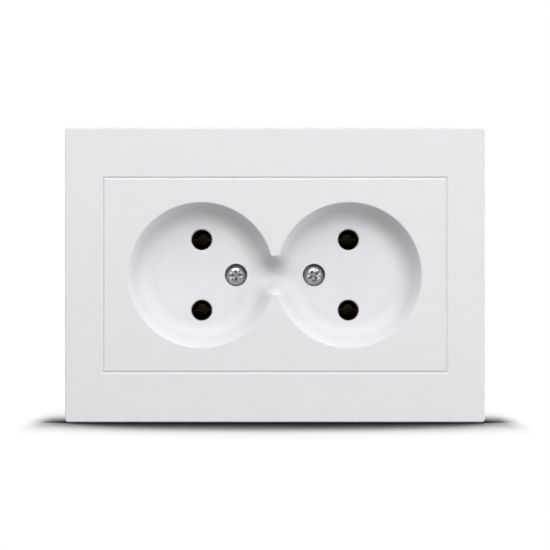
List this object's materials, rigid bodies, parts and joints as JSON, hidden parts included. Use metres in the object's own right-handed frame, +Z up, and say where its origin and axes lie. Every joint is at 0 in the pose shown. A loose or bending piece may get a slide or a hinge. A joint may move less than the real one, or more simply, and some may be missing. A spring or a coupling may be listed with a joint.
{
  "type": "double wall socket",
  "caption": "White flush wall socket with a pair of round plug recesses joined by a neck in a flat cover, a plain surround, a steel support plate and spreading claws behind.",
  "frame": {"origin": "middle of the pair of box-screw slots, in the wall plane", "axes": "+Z up, +X to the right seen from the room, +Y into the wall; the front faces -Y"},
  "size_m": [0.1126, 0.0365, 0.0792],
  "materials": {
    "white_plastic": "satin",
    "black_plastic": "matt",
    "zinc_screw": "bright zinc",
    "galvanised_steel": "zinc",
    "claw_steel": "yellow zinc",
    "bronze": "rolled strip"
  },
  "bodies": {
    "socket_body": {"base_housing": "black_plastic", "claw_pin_lower": "claw_steel", "claw_pin_upper": "claw_steel", "contact_retainer": "black_plastic", "cover_nuts": "zinc_screw", "cover_screws": "zinc_screw", "line_contact": "bronze", "neutral_contact": "bronze", "outer_frame": "white_plastic", "plate_rivets": "galvanised_steel", "retainer_screw": "zinc_screw", "socket_cover": "white_plastic", "support_plate": "galvanised_steel", "terminal_block": "black_plastic", "terminal_clamp_lower_left": "galvanised_steel", "terminal_clamp_lower_right": "galvanised_steel", "terminal_clamp_upper_left": "galvanised_steel", "terminal_clamp_upper_right": "galvanised_steel", "terminal_screws": "zinc_screw"},
    "claw_upper": {"claw_upper": "claw_steel"},
    "claw_lower": {"claw_lower": "claw_steel"},
    "claw_screw_upper": {"claw_screw_upper": "zinc_screw"},
    "claw_screw_lower": {"claw_screw_lower": "zinc_screw"}
  },
  "joints": [
    {"name": "claw_screw_upper_turn", "type": "hinge", "parent": "socket_body", "child": "claw_screw_upper", "pos_m": [0, 0, 0.0247], "axis": [0, 1, 0], "range_deg": [0, 1440]},
    {"name": "claw_upper_swing", "type": "hinge", "parent": "socket_body", "child": "claw_upper", "pos_m": [0, 0.0044, 0.0192], "axis": [1, 0, 0], "range_deg": [0, 20]},
    {"name": "claw_screw_lower_turn", "type": "hinge", "parent": "socket_body", "child": "claw_screw_lower", "pos_m": [0, 0, -0.0247], "axis": [0, 1, 0], "range_deg": [0, 1440]},
    {"name": "claw_lower_swing", "type": "hinge", "parent": "socket_body", "child": "claw_lower", "pos_m": [0, 0.0044, -0.0192], "axis": [-1, 0, 0], "range_deg": [0, 20]}
  ],
  "couplings": [
    {"joint": "claw_upper_swing", "follows": "claw_screw_upper_turn", "ratio": 0.01388},
    {"joint": "claw_lower_swing", "follows": "claw_screw_lower_turn", "ratio": 0.01388}
  ]
}
